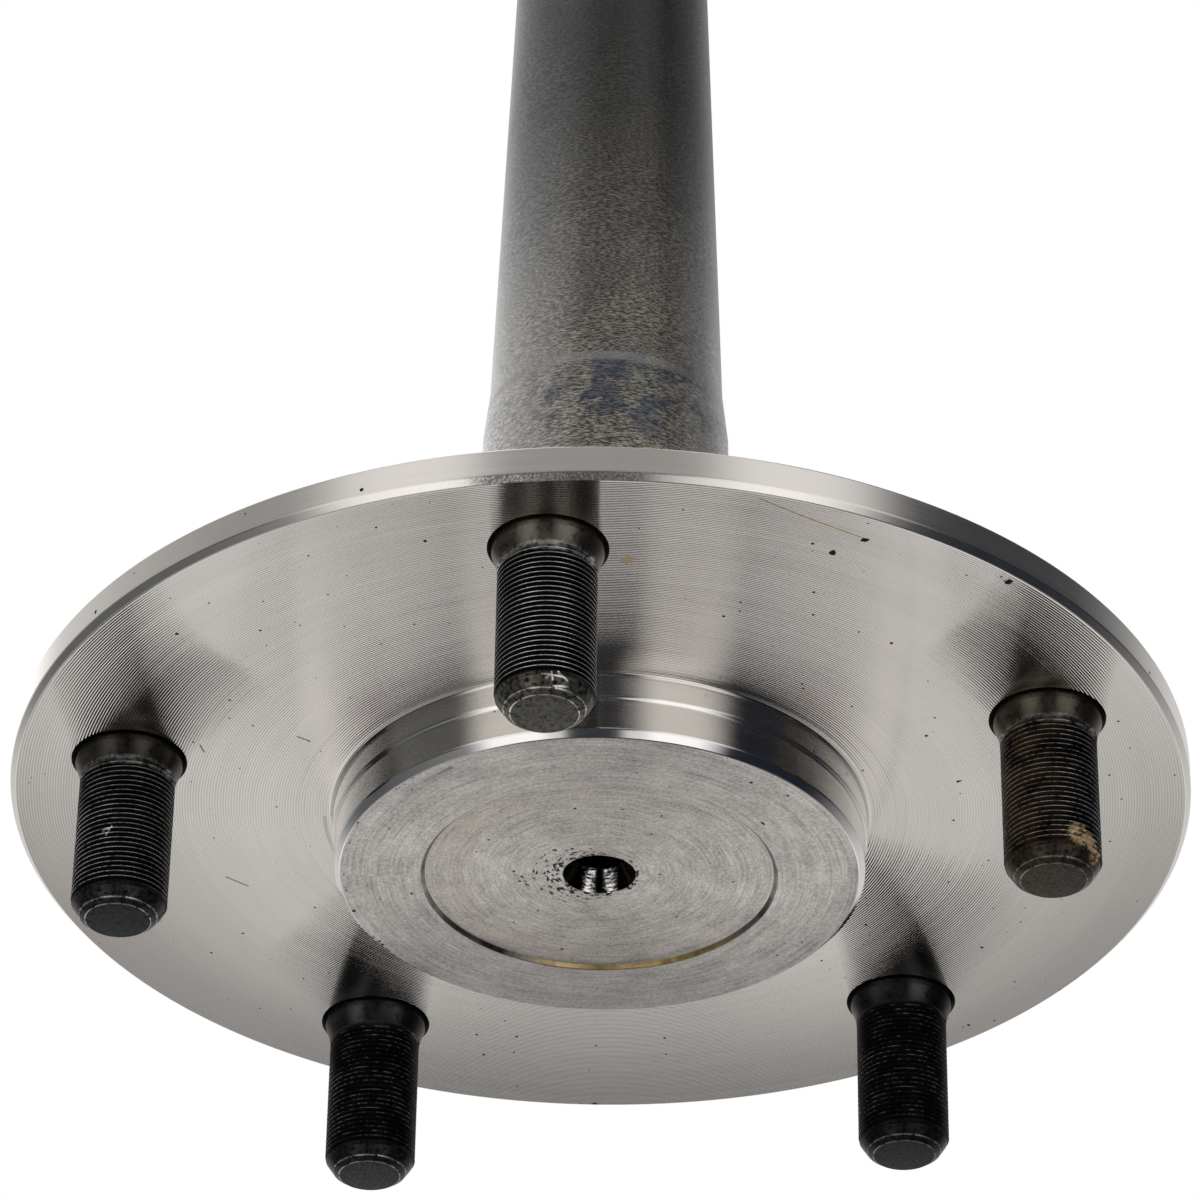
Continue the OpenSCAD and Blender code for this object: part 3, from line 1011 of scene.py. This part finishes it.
@dataclass
class Stud:
    """A pressed wheel stud: head, shank, hollow-sided collar, cut thread and bevelled tip."""

    thread_radius: float = MOUNTS["wheel_nuts"]["dims"]["stud_r_mm"] * MM
    reach: float = FACE_HEIGHT
    flange_thickness: float = 7 * MM
    shank_radius: float = 7.75 * MM
    collar: float = 1 * MM
    collar_cone: float = 3.5 * MM
    lead: float = 2 * MM
    lead_depth: float = 1.3 * MM
    tip_bevel: float = 0.7 * MM
    tip_radius: float = 4.6 * MM
    head_radius: float = 10 * MM
    head_thickness: float = 3 * MM
    head_chamfer: float = 0.8 * MM
    pitch: float = 0.8 * MM
    thread_depth: float = 0.46 * MM
    crest_share: float = 0.13
    root_share: float = 0.14
    cutter_over: float = 0.06 * MM
    turn_steps: int = 64
    cone_steps: int = 6
    edge_rounding: float = 0.08 * MM
    sharpest: float = 12.0
    segments: int = 96

    def section(self) -> list[tuple[float, float]]:
        """Returns the stud's half section before its thread is cut, with heights from the wheel face."""
        tip = -self.reach
        head = self.flange_thickness
        flare = self.shank_radius - self.thread_radius
        shares = [step / self.cone_steps for step in range(self.cone_steps + 1)]
        hollow = [
            (self.thread_radius + flare * share**2, self.collar_cone * (share - 1) - self.collar)
            for share in shares
        ]
        return [
            (0, tip),
            (self.tip_radius, tip),
            (self.thread_radius - self.lead_depth, tip + self.tip_bevel),
            (self.thread_radius, tip + self.tip_bevel + self.lead),
            *hollow,
            (self.shank_radius, head),
            (self.head_radius, head),
            (self.head_radius, head + self.head_thickness - self.head_chamfer),
            (self.head_radius - self.head_chamfer, head + self.head_thickness),
            (0, head + self.head_thickness),
        ]

    def thread_cutter(self) -> bpy.types.Object:
        """Returns the thread's groove as one long helix."""
        outer = self.thread_radius + self.cutter_over
        root = self.thread_radius - self.thread_depth
        root_half = self.root_share * self.pitch / 2
        slope = ((1 - self.crest_share) * self.pitch / 2 - root_half) / self.thread_depth
        outer_half = root_half + slope * (outer - root)
        bpy.ops.object.select_all(action="DESELECT")
        bpy.ops.mesh.primitive_circle_add(vertices=4, radius=MM)
        groove = bpy.context.object
        into_edit(groove)
        shape = bmesh.from_edit_mesh(groove.data)
        corners = [(root, -root_half), (outer, -outer_half), (outer, outer_half), (root, root_half)]
        for corner, (radius, height) in zip(shape.verts, corners):
            corner.co = (radius, 0, height)
        bmesh.update_edit_mesh(groove.data)
        bpy.ops.object.mode_set(mode="OBJECT")
        length = self.reach - self.collar - self.collar_cone * 0.7
        turns = round(length / self.pitch)
        helix = {"axis": "Z", "angle": 2 * math.pi, "screw_offset": self.pitch, "iterations": turns}
        apply_modifier(groove, "SCREW", steps=self.turn_steps, render_steps=self.turn_steps, **helix)
        into_edit(groove)
        bpy.ops.mesh.remove_doubles(threshold=MM / 10000)
        bpy.ops.mesh.select_all(action="DESELECT")
        bpy.ops.mesh.select_non_manifold()
        bpy.ops.mesh.fill_holes(sides=0)
        bpy.ops.mesh.select_all(action="SELECT")
        bpy.ops.mesh.normals_make_consistent(inside=False)
        bpy.ops.transform.translate(value=(0, 0, -self.reach))
        bpy.ops.object.mode_set(mode="OBJECT")
        return groove

    def build(self) -> bpy.types.Object:
        """Returns one stud about the origin, with heights from the wheel face."""
        stud = turn("wheel_stud", self.section(), self.segments)
        round_edges(stud, self.edge_rounding)
        cut(stud, self.thread_cutter())
        smooth(stud, self.sharpest)
        return stud


@dataclass
class StudSet:
    """The studs round the flange, each with its own wear."""

    stud: Stud = field(default_factory=Stud)
    circle_radius: float = MOUNTS["wheel_nuts"]["dims"]["pcd_mm"] / 2 * MM
    count: int = MOUNTS["wheel_nuts"]["dims"]["count"]
    first_angle: float = -96.3
    wear: tuple[StudWear, ...] = (
        StudWear(
            crests=0.75,
            collar=(0.15, 0.138, 0.112, 1),
            lead=(0.14, 0.13, 0.105, 1),
            tip=grey(0.11, 0.03),
            edge=1.0,
            scratches=(
                (-0.3, -24.8, 2.2, -24.9),
                (0.9, -24.6, 1.2, -26.1),
                (1.2, -26.1, 3.2, -25.9),
                (1.8, -24.5, 3.0, -25.2),
                (0.2, -25.3, 0.9, -24.7),
            ),
        ),
        StudWear(
            crests=0.3,
            collar=(0.10, 0.09, 0.068, 1),
            lead=(0.06, 0.05, 0.038, 1),
            tip=(0.085, 0.07, 0.055, 1),
            dirt=(
                ((3.4 * MM, -6.0 * MM, -22.8 * MM), 2.1 * MM),
                ((5.0 * MM, -4.6 * MM, -23.4 * MM), 1.6 * MM),
                ((5.7 * MM, -3.4 * MM, -25.0 * MM), 1.5 * MM),
            ),
            rust=0.8,
        ),
        StudWear(crests=0.0, collar=grey(0.05), lead=grey(0.02), tip=grey(0.045)),
        StudWear(crests=0.04, collar=grey(0.06), lead=grey(0.03), tip=grey(0.07), edge=0.5),
        StudWear(
            crests=0.42,
            collar=(0.055, 0.05, 0.041, 1),
            lead=grey(0.04),
            tip=grey(0.022, -0.15),
            edge=0.6,
            scratches=((-2.4, -15.9, -0.4, -15.3), (-1.9, -16.6, -1.2, -15.2)),
        ),
    )

    def places(self) -> list[Vector]:
        """Returns where each stud's axis meets the wheel face."""
        angles = [math.radians(self.first_angle + 360 * number / self.count) for number in range(self.count)]
        return [Vector((math.cos(angle), math.sin(angle), 0)) * self.circle_radius for angle in angles]

    def build(self) -> list[bpy.types.Object]:
        """Returns one piece for each stud, in place and dressed."""
        model = self.stud.build()
        studs = []
        for number, place in enumerate(self.places()):
            stud = copy_piece(model, f"wheel_stud_{number + 1}")
            centre = place + Vector((0, 0, FACE_HEIGHT))
            move_mesh(stud, centre)
            finish = BlackStud(
                f"black_stud_{number + 1}",
                tuple(centre),
                self.stud.thread_radius,
                self.stud.reach,
                self.stud.tip_bevel,
                self.stud.lead,
                self.stud.collar + self.stud.collar_cone,
                self.wear[number],
            )
            stud.data.materials.append(finish.material())
            studs.append(stud)
        bpy.data.objects.remove(model)
        return studs


# The studio


@dataclass
class Studio:
    """Floor, soft light and the photograph's camera."""

    elevation: float = -32.11
    distance: float = 0.808
    aim_rise: float = 0.0324
    aim_side: float = -0.0005
    roll: float = 0.0149
    lens: float = 164.6
    sensor: float = 36.0
    nearest: float = 0.01
    floor_radius: float = 30.0
    key_place: Point = (-0.3, 0.3, 2.4)
    key_size: float = 1.0
    key_watts: float = 12.0

    def camera(self) -> None:
        """Adds the camera, below the flange and looking up at it."""
        tilt = math.radians(self.elevation)
        face = Vector((0, 0, FACE_HEIGHT))
        place = face + Vector((0, -math.cos(tilt), math.sin(tilt))) * self.distance
        ahead = (face - place).normalized()
        side = ahead.cross(Vector((0, 0, 1))).normalized()
        above = side.cross(ahead)
        ahead = (face + above * self.aim_rise + side * self.aim_side - place).normalized()
        side = ahead.cross(above).normalized()
        above = side.cross(ahead)
        across = side * math.cos(self.roll) + above * math.sin(self.roll)
        upward = above * math.cos(self.roll) - side * math.sin(self.roll)
        data = bpy.data.cameras.new("camera")
        data.lens = self.lens
        data.sensor_width = self.sensor
        data.clip_start = self.nearest
        camera = bpy.data.objects.new("camera", data)
        turned = Matrix((across, upward, -ahead)).transposed().to_4x4()
        camera.matrix_world = Matrix.Translation(place) @ turned
        bpy.context.scene.collection.objects.link(camera)
        bpy.context.scene.camera = camera

    def floor(self) -> None:
        """Adds a pale floor that is seen from above only."""
        bpy.ops.object.select_all(action="DESELECT")
        bpy.ops.mesh.primitive_circle_add(vertices=96, radius=self.floor_radius, fill_type="NGON")
        floor = bpy.context.object
        floor.name = "floor"
        material, graph = new_material("pale_floor")
        tone = graph.noise(graph.place(), 3.0, 2.0).blend(grey(0.86), grey(0.9))
        pale = graph.add("ShaderNodeBsdfDiffuse", {}, {"Color": tone})
        clear = graph.add("ShaderNodeBsdfTransparent")
        behind = graph.add("ShaderNodeNewGeometry").out("Backfacing")
        shown = graph.add("ShaderNodeMixShader", {}, {0: behind, 1: pale, 2: clear})
        graph.add("ShaderNodeOutputMaterial", {}, {"Surface": shown})
        floor.data.materials.append(material)
        floor.visible_glossy = False
        floor.visible_diffuse = False
        floor.visible_shadow = False

    def surround(self, graph: Graph) -> Wire:
        """Returns the light that comes from each side.

        Azimuth 0 is the camera's side, with the left below 0 and the back at pi.

        Args:
            graph: the world's node tree.

        Returns:
            The surround's colour.
        """
        x, y, z = graph.split(graph.add("ShaderNodeTexCoord"))
        azimuth = x.maths("ARCTAN2", x, 0.0 - y)
        swing = azimuth.maths("ABSOLUTE", azimuth)
        side = azimuth.ramp(-0.1, 0.1)
        leftward = azimuth.ramp(0, -1)
        high = z.ramp(-0.15, 0.25)
        deep = z.ramp(-0.5, -0.85)
        spread = azimuth * (1 - deep * 0.17) - high * 0.05 * side
        # A dark strip at the camera, in a pale room
        camera = (azimuth * (1 + deep * 0.3) - high * 0.1 * side).window(-0.38, 0.20, 0.14)
        tone = camera.blend(grey(0.8), high.blend((0.036, 0.039, 0.046, 1), grey(0.42)))
        # A pale back, with a dark ground far behind the part
        above = leftward.blend(grey(0.85), grey(1.6))
        beside = swing.ramp(3.05, 2.5) * z.ramp(-0.1, -0.4)
        beside = beside.blend(grey(0.74), leftward.blend(grey(1.12), grey(1.3)))
        ground = z.ramp(-0.76, -0.87) * swing.ramp(2.65, 2.95)
        back = z.ramp(0.3, 0.5).blend(ground.blend(beside, grey(0.04)), above)
        tone = swing.ramp(2.25, 2.55).blend(tone, back)
        # A dark panel to the left and one to the right
        left = spread.ramp(-0.9, -1.08) * high.blend(azimuth.ramp(-2.6, -2.05), azimuth.ramp(-2.1, -1.85))
        shade = azimuth.ramp(-1.1, -1.7).blend(grey(0.06, -0.12), grey(0.12, -0.06))
        upper = azimuth.ramp(-1.2, -1.9).blend(grey(0.39), grey(0.62))
        tone = left.blend(tone, high.blend(deep.blend(shade, grey(0.34)), upper))
        right = spread.ramp(0.84, 1.02) * azimuth.ramp(2.6, 1.75)
        tone = right.blend(tone, high.blend((0.015, 0.018, 0.028, 1), grey(0.065, -0.08)))
        # Two bright boxes beside the camera, and a dark floor below everything
        boxes = spread.window(-0.83, -0.50, 0.14) + spread.window(0.44, 0.74, 0.14)
        tone = boxes.blend(tone, deep.blend(grey(1.1), grey(1.3)))
        return z.ramp(-0.92, -0.97).blend(tone, grey(0.04))

    def world(self) -> None:
        """Sets the surround, which the camera itself sees as plain white."""
        world = bpy.data.worlds.new("surround")
        bpy.context.scene.world = world
        world.use_nodes = True
        graph = Graph(world.node_tree)
        seen = graph.add("ShaderNodeLightPath").out("Is Camera Ray")
        colour = seen.blend(self.surround(graph), grey(1.0))
        light = graph.add("ShaderNodeBackground", {}, {"Color": colour, "Strength": 1.0})
        graph.add("ShaderNodeOutputWorld", {}, {"Surface": light})

    def key_lamp(self) -> None:
        """Adds one soft lamp aimed at the flange."""
        data = bpy.data.lights.new("key", "AREA")
        data.size = self.key_size
        data.energy = self.key_watts
        lamp = bpy.data.objects.new("key", data)
        lamp.location = self.key_place
        aim = Vector((0, 0, FACE_HEIGHT)) - lamp.location
        lamp.rotation_euler = aim.to_track_quat("-Z", "Y").to_euler()
        bpy.context.scene.collection.objects.link(lamp)

    def build(self) -> None:
        """Sets up the camera, floor, surround and lamp."""
        self.camera()
        self.floor()
        self.world()
        self.key_lamp()
        bpy.context.scene.view_settings.view_transform = "Standard"


def main() -> None:
    """Builds the forging, the studs and the studio."""
    logging.basicConfig(level=logging.INFO, format="%(name)s: %(message)s")
    studs = StudSet()
    forging = Axle().build(studs.places(), StudHole())
    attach(forging, "root")
    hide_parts("axle_shaft")
    LOG.info("%s has %d faces", forging.name, len(forging.data.polygons))
    for stud in studs.build():
        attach(stud, "root")
        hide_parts("wheel_studs")
        LOG.info("%s has %d faces", stud.name, len(stud.data.polygons))
    Studio().build()


if __name__ == "__main__":
    main()
